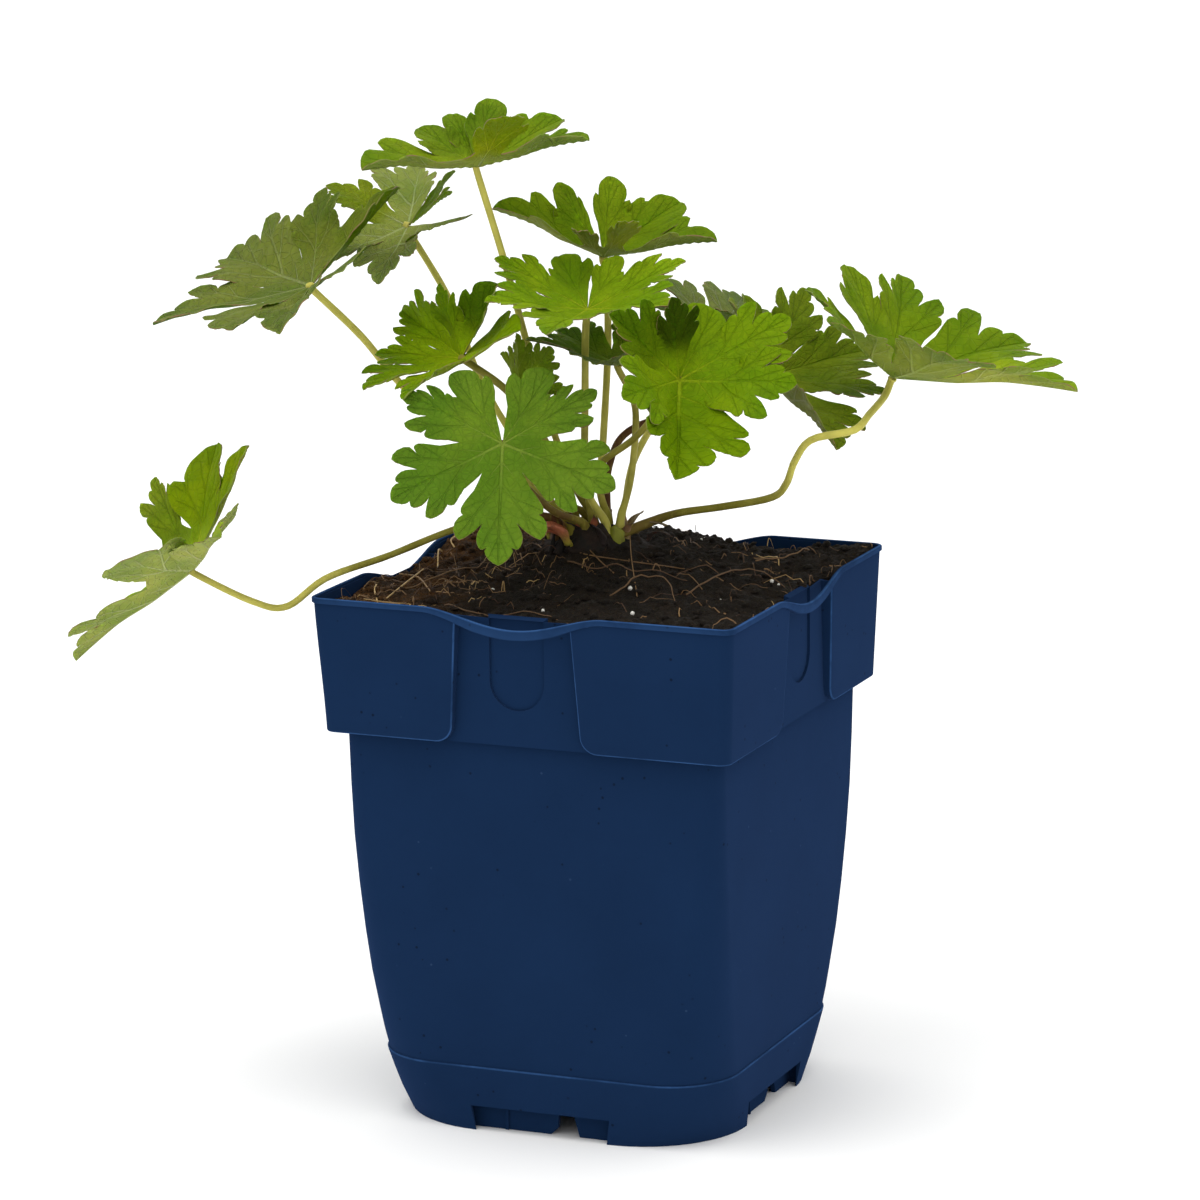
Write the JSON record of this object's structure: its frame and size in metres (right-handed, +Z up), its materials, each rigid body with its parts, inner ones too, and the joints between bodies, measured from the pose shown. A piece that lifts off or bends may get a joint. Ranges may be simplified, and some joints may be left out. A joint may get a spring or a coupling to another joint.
{
  "type": "potted hardy geranium",
  "caption": "Hardy geranium in a square navy nursery pot: lobed, toothed leaves on slender arching stalks from a low crown in dark peat compost.",
  "frame": {"origin": "on the floor, under the middle of the whole plant's outline", "axes": "+Z up; +X along the pot's front side to the right; -Y towards the front, where the broad front leaf faces"},
  "size_m": [0.2772, 0.2, 0.2968],
  "materials": {
    "pot_plastic": "navy moulded plastic, satin, with fine scuffs and dust",
    "compost_peat": "moist dark peat, rough and fibrous",
    "rootstock_bark": "dull brown bark",
    "leaf_green": "mid green, softly matt above, paler and veined below",
    "stalk_green": "yellow green shading to olive brown at the base, slightly hairy",
    "bract_red": "dry papery red brown",
    "root_straw": "dry tan fibre"
  },
  "bodies": {
    "root": {"bract_1": "bract_red", "bract_2": "bract_red", "bract_3": "bract_red", "bract_4": "bract_red", "bract_5": "bract_red", "compost": "compost_peat", "leaf_back": "leaf_green", "leaf_back_left": "leaf_green", "leaf_far_right": "leaf_green", "leaf_front": "leaf_green", "leaf_inner": "leaf_green", "leaf_left": "leaf_green", "leaf_low_left": "leaf_green", "leaf_middle": "leaf_green", "leaf_right_back": "leaf_green", "leaf_right_front": "leaf_green", "leaf_small_left": "leaf_green", "leaf_top": "leaf_green", "leaf_upper_right": "leaf_green", "leaf_young": "leaf_green", "pot": "pot_plastic", "root_thread_1": "root_straw", "root_thread_2": "root_straw", "root_thread_3": "root_straw", "root_thread_4": "root_straw", "root_thread_5": "root_straw", "root_thread_6": "root_straw", "rootstock": "rootstock_bark", "stalk_back": "stalk_green", "stalk_back_left": "stalk_green", "stalk_far_right": "stalk_green", "stalk_front": "stalk_green", "stalk_inner": "stalk_green", "stalk_left": "stalk_green", "stalk_low_left": "stalk_green", "stalk_middle": "stalk_green", "stalk_right_back": "stalk_green", "stalk_right_front": "stalk_green", "stalk_small_left": "stalk_green", "stalk_top": "stalk_green", "stalk_upper_right": "stalk_green", "stalk_young": "stalk_green"}
  },
  "joints": []
}
